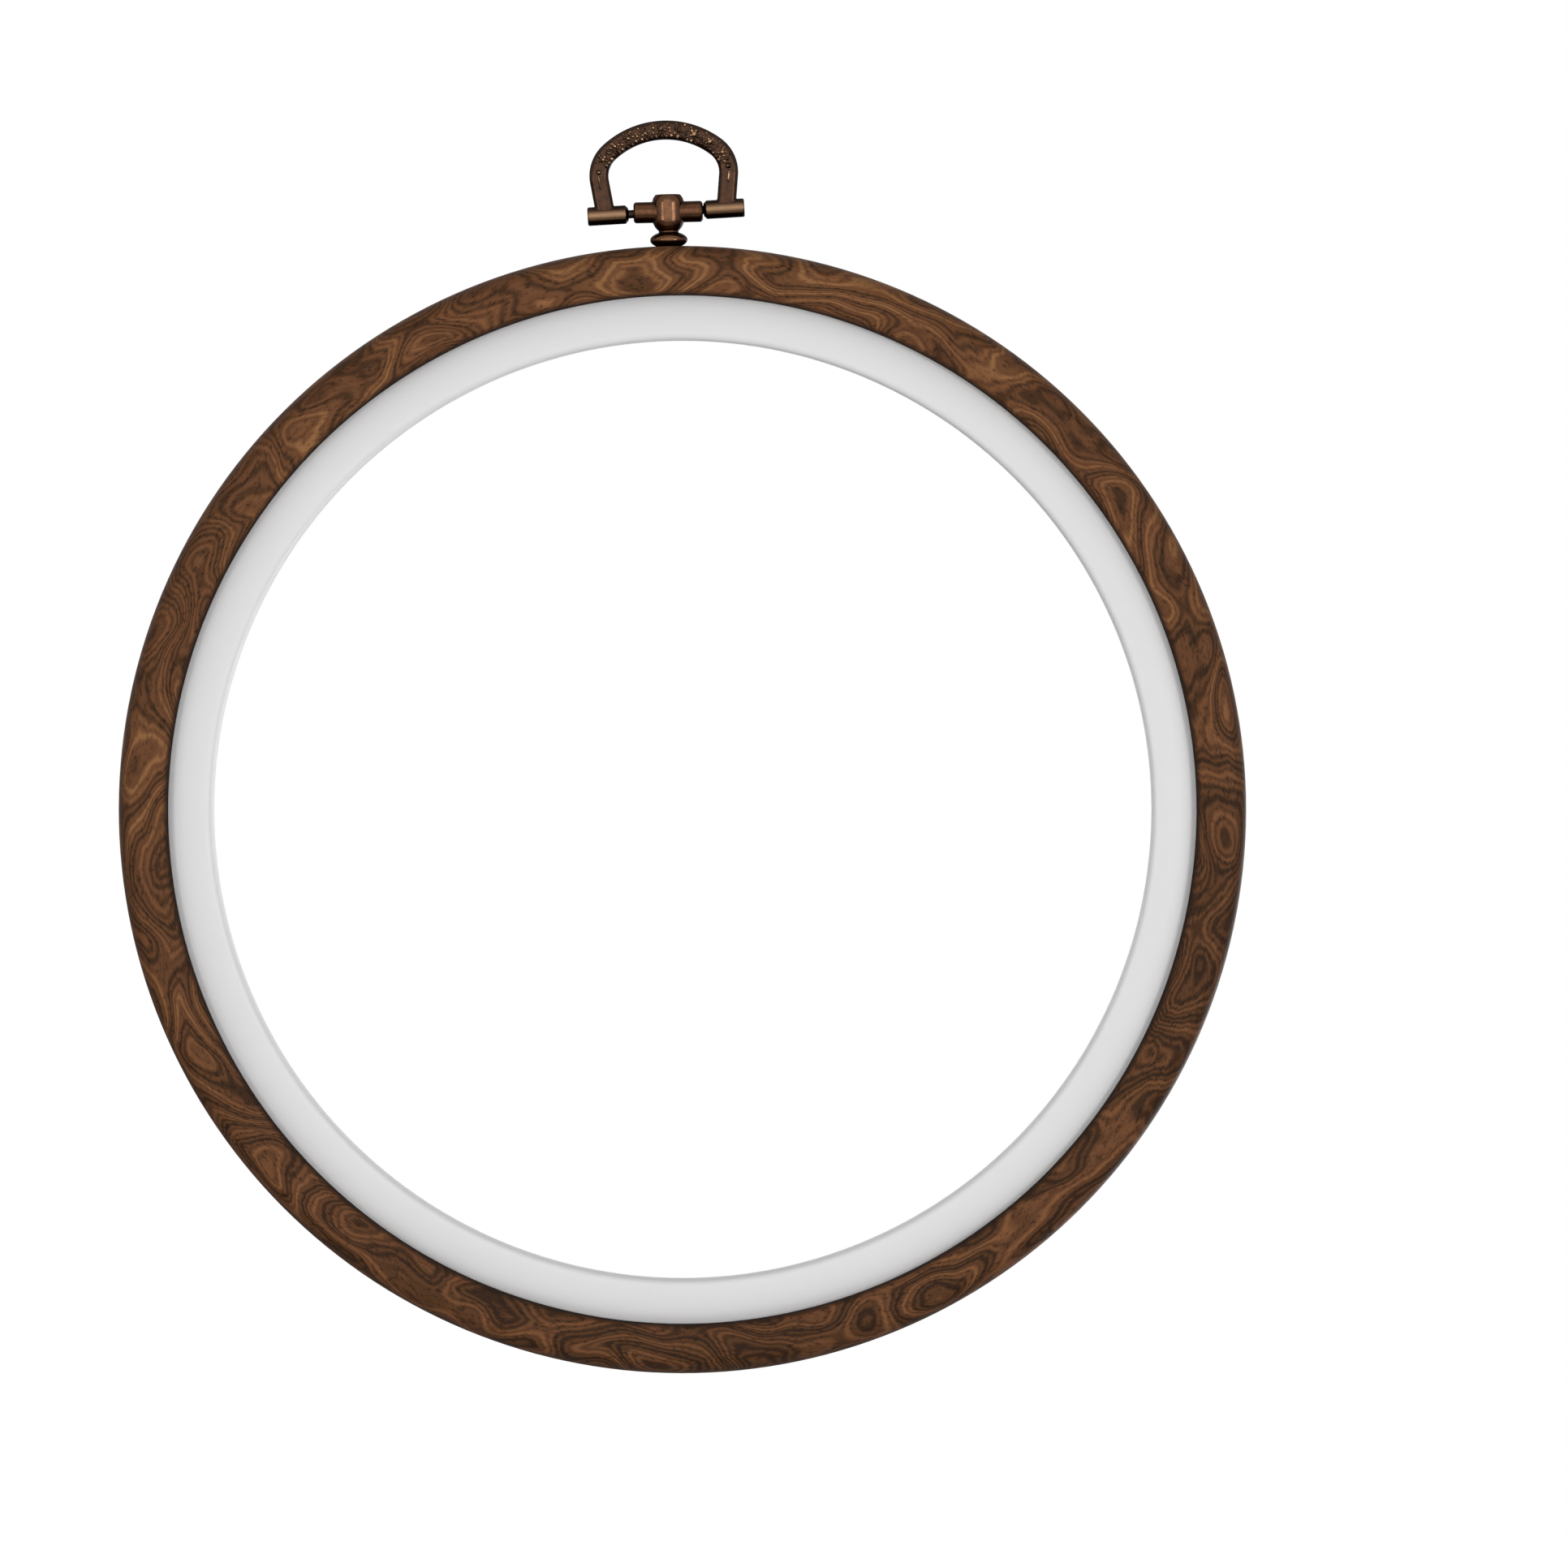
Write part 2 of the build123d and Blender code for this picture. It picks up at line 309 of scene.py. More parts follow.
@dataclass(frozen=True)
class WoodPrintVinyl:
    """Soft PVC, moulded and then heat-printed with a dark walnut figure.

    The eye sees a satin skin: soft pale growth bands drawn into ovals and caps, fine lines that
    follow them, and short dark flecks along the ring. The colour grows a little lighter towards the top.
    The outer edge is darker, as painted shade where the surface rounds off and as thinner print, and the
    lip's inner edge is darker, as painted shade of the gap under the lip.
    """

    tones: tuple[str, ...] = ("#2B180D", "#442A14", "#623E25", "#774D2F", "#91663F")
    # Colour of the darkened edges: painted shade, with thinner print at the outer edge.
    edge: str = "#2B211C"
    mid_radius: float = 70.5
    drift: Grain = Grain(18.0, mid_radius)
    figure: Grain = Grain(12.0, 6.5, 0.8, 0.35)
    ripple: Grain = Grain(4.5, 1.2, 2.0, 0.5)
    fleck: Grain = Grain(0.7, 0.3, 2.0, 0.6)
    patch: Grain = Grain(24.0, 9.0)
    drift_distance: float = 14.0
    rings: float = 7.0
    waver: float = 0.35
    fine_rings: float = 4.0
    fleck_span: Pair = (0.48, 0.34)
    patch_span: Pair = (0.34, 0.6)
    patch_levels: Pair = (0.25, 1.0)
    band_rise: Pair = (0.0, 0.22)
    band_fall: Pair = (0.3, 0.85)
    ground: float = 0.32
    band_share: float = 0.45
    fine_share: float = 0.17
    fleck_share: float = 0.26
    run_share: float = 0.11
    run_slant: float = -0.35
    # Width and strength of the outer edge's painted shade, and where the lip's painted shade starts and is
    # full.
    outer_shade_width: float = 1.8
    edge_share: float = 0.42
    lip_shade_span: Pair = (0.75, 0.1)
    roughness: float = 0.5
    cut_roughness: float = 1.0
    shine: float = 0.1
    emboss_strength: float = 0.4
    emboss_depth: float = 0.03

    def bands(self, place: RingPlace, growth: NodeSocket) -> NodeSocket:
        """The soft pale bands, strong in some patches and faint in others.

        Args:
            place: position on the ring.
            growth: the figure's height, one unit for each growth ring.

        Returns:
            Socket of the bands' strength, from zero to one.
        """
        coat = place.coat
        strength = coat.span(place.noise(self.patch), self.patch_span, self.patch_levels)
        year = coat.math("FRACT", growth)
        rise = coat.span(year, self.band_rise, smooth=True)
        fall = coat.span(year, self.band_fall, (1.0, 0.0), smooth=True)
        return coat.math("MULTIPLY", coat.math("MULTIPLY", rise, fall), strength)

    def edge_shade_and_print(self, place: RingPlace) -> tuple[NodeSocket, NodeSocket]:
        """Painted shade along the lip's inner edge, and painted shade with thinner print past the front's
        outer edge.

        Args:
            place: position on the ring.

        Returns:
            Sockets of how far the painted shade darkens the colour, and of the roughness.
        """
        coat = place.coat
        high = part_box("outer_ring")[1].x / MM
        lip = high - OuterRing.rim_width
        inner = coat.span(place.radius, (lip + self.lip_shade_span[0], lip + self.lip_shade_span[1]))
        outer = coat.span(place.radius, (high - self.outer_shade_width, high))
        shade_and_thin_print = coat.math("MAXIMUM", inner, coat.math("MULTIPLY", outer, self.edge_share))
        return shade_and_thin_print, coat.span(inner, UNIT_SPAN, (self.roughness, self.cut_roughness))

    def build(self) -> Material:
        """Makes the printed vinyl."""
        coat = Coating("wood_print_vinyl")
        place = RingPlace(coat, self.mid_radius)
        slip = coat.math("MULTIPLY", place.noise(self.drift), self.drift_distance)
        swell, ripple, speck = [place.noise(g, slip) for g in (self.figure, self.ripple, self.fleck)]
        growth = coat.math("MULTIPLY_ADD", ripple, self.waver, coat.math("MULTIPLY", swell, self.rings))
        line = coat.math("SINE", coat.math("MULTIPLY_ADD", growth, self.fine_rings * 2 * pi, speck))
        fleck = coat.span(speck, self.fleck_span, smooth=True)
        # The colour grows a little lighter towards the top and slightly towards the left.
        slanted = coat.math("MULTIPLY_ADD", place.rightwards, self.run_slant, place.upwards)
        run = coat.math("DIVIDE", slanted, self.mid_radius)
        tone = self.ground
        for mark, share in ((self.bands(place, growth), self.band_share), (line, self.fine_share),
                            (fleck, -self.fleck_share), (run, self.run_share)):
            tone = coat.math("MULTIPLY_ADD", mark, share, tone)
        ramp = coat.add("ValToRGB", {0: tone})
        stops = ramp.color_ramp.elements
        for i, paint in enumerate(self.tones):
            stop = stops[i] if i < len(stops) else stops.new(1.0)
            stop.position = i / (len(self.tones) - 1)
            stop.color = linear(paint)
        # The edges are blended towards the edge colour: painted shade, with thinner print at the outer edge.
        shade_and_thin_print, matt = self.edge_shade_and_print(place)
        return coat.done({"Base Color": coat.blend(shade_and_thin_print, ramp.outputs[0], self.edge),
                          "Normal": coat.bump(fleck, self.emboss_strength, self.emboss_depth, invert=True),
                          "Roughness": matt, "Specular IOR Level": self.shine})


@dataclass(frozen=True)
class MilkyPolypropylene:
    """Natural white polypropylene, injection moulded against a fine satin tool.

    It lets a little light in, so its edges glow softly and its highlights are broad.
    """

    colour: str = "#E9E8E8"
    cloudy: str = "#E6E5E5"
    cloud_blots: float = 40.0
    cloud_detail: float = 2.0
    satin: FineTexture = FineTexture(2500.0, 1.0, 0.08, 0.01)
    roughness: float = 0.45
    glow_share: float = 0.6
    depth_of_glow: float = 1.2

    def build(self) -> Material:
        """Makes the milky plastic."""
        coat = Coating("milky_polypropylene")
        spot = coat.spot()
        cloud = coat.noise(spot, self.cloud_blots, self.cloud_detail)
        return coat.done({"Base Color": coat.blend(cloud, self.cloudy, self.colour),
                          "Normal": coat.emboss(spot, self.satin), "Roughness": self.roughness,
                          "Subsurface Weight": self.glow_share, "Subsurface Radius": WHITE[:3],
                          "Subsurface Scale": self.depth_of_glow * MM})


@dataclass(frozen=True)
class WearAndGlint:
    """Where hands have rubbed a casting bright, and where highlight is painted in the same bright colour.

    The depths are distances from the hoop's middle plane, at which the bright colour starts and is full. It
    is even from the crossbar's height as far as its reach above and below, and paints a highlight streak
    along each barrel.
    """

    depths: Pair
    bar_height: float
    bar_reach: float


@dataclass(frozen=True)
class AntiqueBronze:
    """Zinc casting plated with bronze, blackened and then rubbed back.

    Hollows keep a dark brown patina, and edges are rubbed to warm bright metal. High spots get the same
    bright colour, partly as rubbed metal and partly as painted highlight. The sides that turn away from
    the front keep more patina, as painted shade.
    """

    patina: str = "#1E130D"
    metal: str = "#3E2718"
    # Bright colour of rubbed metal, also used as painted highlight on the high spots.
    worn_and_glint: str = "#B8906C"
    rim_tint: str = "#332419"
    # Depths from the middle plane over which the painted side shade fades out, and its share at the sides.
    face_depths: Pair = (0.4, 0.95)
    side_share: float = 0.2
    hollow_reach: float = 0.5
    hollow_samples: int = 8
    open_span: Pair = (0.35, 0.95)
    edge_reach: float = 0.14
    edge_samples: int = 6
    edge_span: Pair = (0.99, 0.9)
    edge_share: float = 0.3
    patch_size: float = 0.9
    patch_detail: float = 4.0
    patch_roughness: float = 0.65
    patch_span: Pair = (0.36, 0.64)
    patch_levels: Pair = (0.45, 1.0)
    rub_glint_span: Pair = (0.46, 0.62)
    bar_share: float = 0.33
    bar_fade: float = 0.9
    grit: FineTexture = FineTexture(4000.0, 2.0, 0.12, 0.02)
    roughness: float = 0.22
    dull: float = 0.14
    lacquer: float = 0.2
    lacquer_roughness: float = 0.2

    def rub_and_glint_share(self, coat: Coating, depth: NodeSocket, height: NodeSocket, patches: NodeSocket,
                wear_and_glint: WearAndGlint) -> NodeSocket:
        """How far what stands proud gets the bright colour, evenly along the bar and patchily past it:
        rubbed metal, and painted highlight on the granules' tops and along the barrels' fronts.

        Args:
            coat: the casting's coating.
            depth: distance from the hoop's middle plane, in metres.
            height: height above the hoop's middle, in metres.
            patches: noise of the wear.
            wear_and_glint: where the casting is rubbed and highlight is painted.

        Returns:
            Socket of the bright colour's share, from zero to one.
        """
        proud = coat.span(depth, tuple(d * MM for d in wear_and_glint.depths))
        patchy = coat.span(patches, self.rub_glint_span)
        off_bar = coat.math("ABSOLUTE", coat.math("SUBTRACT", height, wear_and_glint.bar_height * MM))
        past = coat.span(off_bar, (wear_and_glint.bar_reach * MM, (wear_and_glint.bar_reach + self.bar_fade) * MM))
        share = coat.get("Mix", {0: past, 2: self.bar_share, 3: patchy})
        return coat.math("MULTIPLY", proud, share)

    def build(self, name: str, wear_and_glint: WearAndGlint) -> Material:
        """Makes the plating.

        Args:
            name: the material's name.
            wear_and_glint: where the casting is rubbed and highlight is painted.

        Returns:
            The finished material.
        """
        coat = Coating(name)
        spot = coat.spot()
        patches = coat.noise(spot, 1 / (self.patch_size * MM), self.patch_detail, self.patch_roughness)
        sky = coat.get("AmbientOcclusion", {"Distance": self.hollow_reach * MM}, "AO",
                       samples=self.hollow_samples)
        rubbed = coat.span(sky, self.open_span)
        spread = coat.span(patches, self.patch_span, self.patch_levels)
        _, middle_distance, height = coat.add("SeparateXYZ", {0: spot}).outputs
        depth = coat.math("ABSOLUTE", middle_distance)
        # Painted shade: the sides that turn away from the front keep more of the patina colour, standing in
        # for the dark reflections at the silhouettes.
        painted_side_shade = coat.span(depth, tuple(d * MM for d in self.face_depths), (self.side_share, 1.0))
        share = coat.math("MULTIPLY", coat.math("MULTIPLY", rubbed, spread), painted_side_shade)
        body = coat.blend(share, self.patina, self.metal)
        soft = coat.get("Bevel", {"Radius": self.edge_reach * MM}, samples=self.edge_samples)
        hard = coat.get("NewGeometry", output="Normal")
        likeness = coat.vector("DOT_PRODUCT", {0: soft, 1: hard}, "Value")
        edge = coat.span(likeness, self.edge_span, (0.0, self.edge_share))
        bright = coat.math("MAXIMUM", edge, self.rub_and_glint_share(coat, depth, height, patches, wear_and_glint))
        colour = coat.blend(coat.math("MULTIPLY", bright, rubbed), body, self.worn_and_glint)
        sheen = coat.span(share, UNIT_SPAN, (self.roughness + self.dull, self.roughness))
        return coat.done({"Base Color": colour, "Roughness": sheen, "Normal": coat.emboss(spot, self.grit),
                          "Metallic": 1.0, "Specular Tint": linear(self.rim_tint),
                          "Coat Weight": self.lacquer, "Coat Roughness": self.lacquer_roughness})


@dataclass(frozen=True)
class DullNickel:
    """Nickel-plated steel of a small screw, turned and barrel-plated, so it is grey and slightly uneven."""

    colour: str = "#A8A49C"
    shade: str = "#8C887F"
    haze_blots: float = 900.0
    haze_detail: float = 3.0
    roughness: float = 0.35

    def build(self) -> Material:
        """Makes the plating."""
        coat = Coating("dull_nickel")
        haze = coat.noise(coat.spot(), self.haze_blots, self.haze_detail)
        return coat.done({"Base Color": coat.blend(haze, self.shade, self.colour), "Metallic": 1.0,
                          "Roughness": self.roughness})


@dataclass(frozen=True)
class PalePaper:
    """Seamless background paper, lit so that the eye reads it as white and still sees a soft shadow."""

    colour: str = "#F2F2F2"
    roughness: float = 0.9
    lift: float = 0.22

    def build(self) -> Material:
        """Makes the paper."""
        coat = Coating("pale_paper")
        lift = coat.math("MULTIPLY", coat.get("LightPath", output="Is Camera Ray"), self.lift)
        return coat.done({"Base Color": linear(self.colour), "Roughness": self.roughness,
                          "Emission Color": WHITE, "Emission Strength": lift})


class Trail:
    """A front of points or edges that is swept through space, stretch by stretch."""

    def __init__(self, mesh: BMesh, front: list) -> None:
        """Starts from a front that is already in the mesh."""
        self.mesh = mesh
        self.front = front

    def sweep(self, steps: int, angle: float, **way: Vector) -> None:
        """Sweeps the front in equal steps, by the whole angle in radians."""
        out = bmesh.ops.spin(self.mesh, geom=self.front, steps=steps, angle=angle, use_merge=False,
                             use_duplicate=False, **way)
        self.front = out["geom_last"]

    def push(self, travel: Vector, steps: int = 1) -> None:
        """Sweeps the front along a straight line, in equal steps."""
        self.sweep(steps, 0.0, axis=(0.0, 0.0, 1.0), dvec=travel / steps)

    def turn(self, centre: Vector, axis: Vector, angle: float, steps: int) -> None:
        """Sweeps the front round an axis.

        Args:
            centre: a point on the axis.
            axis: the axis's direction.
            angle: turn in radians.
            steps: number of equal stretches.
        """
        self.sweep(steps, angle, cent=centre, axis=axis)


class Outline(Trail):
    """The outline of something round, drawn from a point in the half plane through its axis.

    The axis is Y while it is drawn. A place is a distance from the axis and a distance along it.
    """

    def __init__(self, *places: Pair) -> None:
        """Starts the outline at the first place, and draws straight lines through any others."""
        mesh = bmesh.new()
        self.start = mesh.verts.new((*places[0], 0.0))
        super().__init__(mesh, [self.start])
        for place in places[1:]:
            self.line_to(*place)

    def line_to(self, radius: float, along: float, steps: int = 1) -> None:
        """Draws a straight line to a place, with more than one step where it is bowed later."""
        self.push(Vector((radius, along, 0.0)) - self.front[0].co, steps)

    def arc(self, radius: float, along: float, steps: int = 8, angle: float = RIGHT_ANGLE) -> None:
        """Draws an arc about a place, anticlockwise by an angle in degrees."""
        self.turn(Vector((radius, along, 0.0)), Vector((0.0, 0.0, 1.0)), radians(angle), steps)

    def close(self) -> None:
        """Joins the last point to the first."""
        self.mesh.edges.new((self.front[0], self.start))

    def lathe(self, steps: int, place: Matrix | None = None) -> BMesh:
        """Spins the outline once round its axis.

        Args:
            steps: number of stretches round the axis.
            place: matrix that the turned shape is moved by.

        Returns:
            The closed shape, with its faces outwards.
        """
        bmesh.ops.remove_doubles(self.mesh, verts=self.mesh.verts, dist=MM)
        bmesh.ops.spin(self.mesh, geom=self.mesh.verts[:] + self.mesh.edges[:], axis=(0.0, 1.0, 0.0),
                       angle=2 * pi, steps=steps, use_merge=True, use_duplicate=False)
        bmesh.ops.remove_doubles(self.mesh, verts=self.mesh.verts, dist=MM)
        bmesh.ops.recalc_face_normals(self.mesh, faces=self.mesh.faces)
        bmesh.ops.transform(self.mesh, matrix=place or Matrix.Identity(4), verts=self.mesh.verts)
        return self.mesh


def add_shape(target: BMesh, shape: BMesh) -> None:
    """Moves a finished shape into another bmesh.

    Args:
        target: the bmesh that receives it.
        shape: the shape, which is freed.
    """
    passing = bpy.data.meshes.new("passing")
    shape.to_mesh(passing)
    shape.free()
    target.from_mesh(passing)
    bpy.data.meshes.remove(passing)


def settle(piece: Object) -> None:
    """Applies a piece's modifiers to its mesh, so that none is left live."""
    graph = bpy.context.evaluated_depsgraph_get()
    settled = bpy.data.meshes.new_from_object(piece.evaluated_get(graph))
    piece.modifiers.clear()
    piece.data = settled
    piece.data.name = piece.name
    piece.data.materials.clear()


def cut_away(piece: Object, cutter: Object) -> None:
    """Cuts a shape out of a piece, and removes the cutter."""
    cut = piece.modifiers.new("cut", "BOOLEAN")
    cut.operation, cut.solver, cut.object = "DIFFERENCE", "EXACT", cutter
    settle(piece)
    bpy.data.objects.remove(cutter)


def cast(piece: Object, grain: float = 0.06, softness: float = 0.5, passes: int = 2,
         kept: float = 0.5) -> None:
    """Melts overlapping shapes into one casting with soft inner corners.

    Args:
        piece: object that holds closed shapes, some of them overlapping.
        grain: size of the casting's smallest faces.
        softness: strength of each round of smoothing.
        passes: rounds of smoothing.
        kept: share of the triangles that stay where the surface is plain.
    """
    melt = piece.modifiers.new("melt", "REMESH")
    melt.mode, melt.voxel_size, melt.use_smooth_shade = "VOXEL", grain * MM, True
    soften = piece.modifiers.new("soften", "SMOOTH")
    soften.factor, soften.iterations = softness, passes
    thin = piece.modifiers.new("thin", "DECIMATE")
    thin.ratio = kept
    settle(piece)
    piece.data.shade_smooth()


@dataclass
class OuterRing:
    """The soft printed rim: a crowned front and side, a lip, a rebate behind it and the screw's pocket."""

    rim_width: float = 6.6
    lip_thickness: float = 1.7
    rebate_depth: float = 2.2
    front_crown: float = 0.35
    side_crown: float = 0.25
    front_outer_round: float = 1.8
    back_outer_round: float = 1.5
    lip_front_round: float = 0.8
    lip_back_round: float = 0.4
    rebate_back_round: float = 0.4
    seat_depth: float = 0.15
    seat_radius: float = 2.6
    hole_radius: float = 1.1
    pocket_radius: float = 2.3
    pocket_depth: float = 1.65
    crown_steps: int = 12
    front_round_steps: int = 14
    back_round_steps: int = 12
    small_round_steps: int = 5
    finish: WoodPrintVinyl = field(default_factory=WoodPrintVinyl)

    def __post_init__(self) -> None:
        """Takes the ring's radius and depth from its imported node."""
        low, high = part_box("outer_ring")
        self.radius = high.x / MM
        self.front = low.y / MM
        self.back = high.y / MM
        self.side = self.radius - self.side_crown
        self.face = self.front + self.front_crown
        self.lip_radius = self.radius - self.rim_width
        self.rebate_radius = self.lip_radius + self.rebate_depth
        self.lip_back = self.front + self.lip_thickness

    def rim(self) -> BMesh:
        """Draws the section square, rounds its corners, bows its front and side, and spins it."""
        side, face, small = self.side, self.face, self.small_round_steps
        outer, inner = self.front_outer_round, self.lip_front_round
        back_outer, back_inner, under = self.back_outer_round, self.rebate_back_round, self.lip_back_round
        outline = Outline((self.lip_radius, face + inner))
        outline.arc(self.lip_radius + inner, face + inner)
        outline.line_to(side - outer, face, self.crown_steps)
        outline.arc(side - outer, face + outer, self.front_round_steps)
        outline.line_to(side, self.back - back_outer, self.crown_steps)
        outline.arc(side - back_outer, self.back - back_outer, self.back_round_steps)
        outline.line_to(self.rebate_radius + back_inner, self.back)
        outline.arc(self.rebate_radius + back_inner, self.back - back_inner, small)
        outline.line_to(self.rebate_radius, self.lip_back)
        outline.line_to(self.lip_radius + under, self.lip_back)
        outline.arc(self.lip_radius + under, self.lip_back - under, small)
        outline.close()
        self.bow(outline)
        return outline.lathe(RING_STEPS)

    def bow(self, outline: Outline) -> None:
        """Swells the drawn front and side outwards, most at their middles."""
        side, face = self.side, self.face
        half_width = (side - self.lip_radius) / 2
        middle_radius = (side + self.lip_radius) / 2
        half_depth = (self.back - face) / 2
        middle_depth = (self.back + face) / 2
        for vert in outline.mesh.verts:
            across = (vert.co.x - middle_radius) / half_width
            along = (vert.co.y - middle_depth) / half_depth
            front_share = max(0.0, 1 - (vert.co.y - face) / (self.lip_back - face))
            side_share = max(0.0, 1 - (side - vert.co.x) / half_width)
            vert.co.y -= self.front_crown * (1 - across ** 2) * front_share
            vert.co.x += self.side_crown * (1 - along ** 2) * side_share

    def plug(self) -> Object:
        """Makes the stepped plug that bores the post's seat, the screw's hole and the pocket of its head."""
        start, end = self.rebate_radius - self.rebate_back_round, self.radius + self.seat_depth
        seat = self.radius - self.seat_depth
        floor = self.rebate_radius + self.pocket_depth
        outline = Outline((0.0, start), (self.pocket_radius, start), (self.pocket_radius, floor),
                          (self.hole_radius, floor), (self.hole_radius, seat), (self.seat_radius, seat),
                          (self.seat_radius, end), (0.0, end))
        return to_object(outline.lathe(TURNED_STEPS, ON_END), "plug")

    def build(self) -> Object:
        """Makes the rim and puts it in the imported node's place."""
        rim = to_object(self.rim(), "printed_rim")
        cut_away(rim, self.plug())
        rim.data.set_sharp_from_angle(angle=radians(SHARP_ANGLE))
        dress(rim, self.finish.build())
        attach(rim, "outer_ring")
        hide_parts("outer_ring")
        return rim


@dataclass
class InnerRing:
    """The stiff white ring: a straight bore, a round nose, a dome under the lip and an open back."""

    rim: OuterRing
    bore_radius: float
    cloth_gap: float = 0.2
    wall: float = 1.6
    crown_setback: float = 0.6
    nose_round: float = 0.8
    shoulder_round: float = 0.5
    wall_end_round: float = 0.35
    nose_steps: int = 12
    dome_steps: int = 20
    finish: MilkyPolypropylene = field(default_factory=MilkyPolypropylene)

    def ring(self) -> BMesh:
        """Draws the channel section and spins it."""
        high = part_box("inner_ring")[1]
        radius, back = high.x / MM, high.y / MM
        shoulder = self.rim.lip_back + self.cloth_gap
        foot = self.rim.lip_radius - self.cloth_gap
        crown = self.rim.front + self.crown_setback
        crown_radius = self.bore_radius + self.nose_round
        dome_radius, dome_angle = easing_arc(foot - crown_radius, shoulder - crown)
        end, corner = self.wall_end_round, self.shoulder_round
        channel_in, channel_out = self.bore_radius + self.wall, radius - self.wall
        outline = Outline((self.bore_radius, crown + self.nose_round))
        outline.arc(crown_radius, crown + self.nose_round, self.nose_steps)
        outline.arc(crown_radius, crown + dome_radius, self.dome_steps, dome_angle)
        outline.line_to(radius - corner, shoulder)
        outline.arc(radius - corner, shoulder + corner)
        outline.line_to(radius, back - end)
        outline.arc(radius - end, back - end)
        outline.line_to(channel_out + end, back)
        outline.arc(channel_out + end, back - end)
        outline.line_to(channel_out, shoulder + self.wall)
        outline.line_to(channel_in, crown + self.wall)
        outline.line_to(channel_in, back - end)
        outline.arc(channel_in - end, back - end)
        outline.line_to(self.bore_radius + end, back)
        outline.arc(self.bore_radius + end, back - end)
        outline.close()
        return outline.lathe(RING_STEPS)

    def build(self) -> Object:
        """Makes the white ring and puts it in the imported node's place."""
        ring = to_object(self.ring(), "white_ring")
        dress(ring, self.finish.build())
        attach(ring, "inner_ring")
        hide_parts("inner_ring")
        return ring


class BeadRow(Enum):
    """Rows of granules on the bow: share of its half width, pitch and granule size in millimetres."""

    INNER = (-0.64, 0.72, 0.5)
    OUTER = (0.62, 0.95, 0.36)


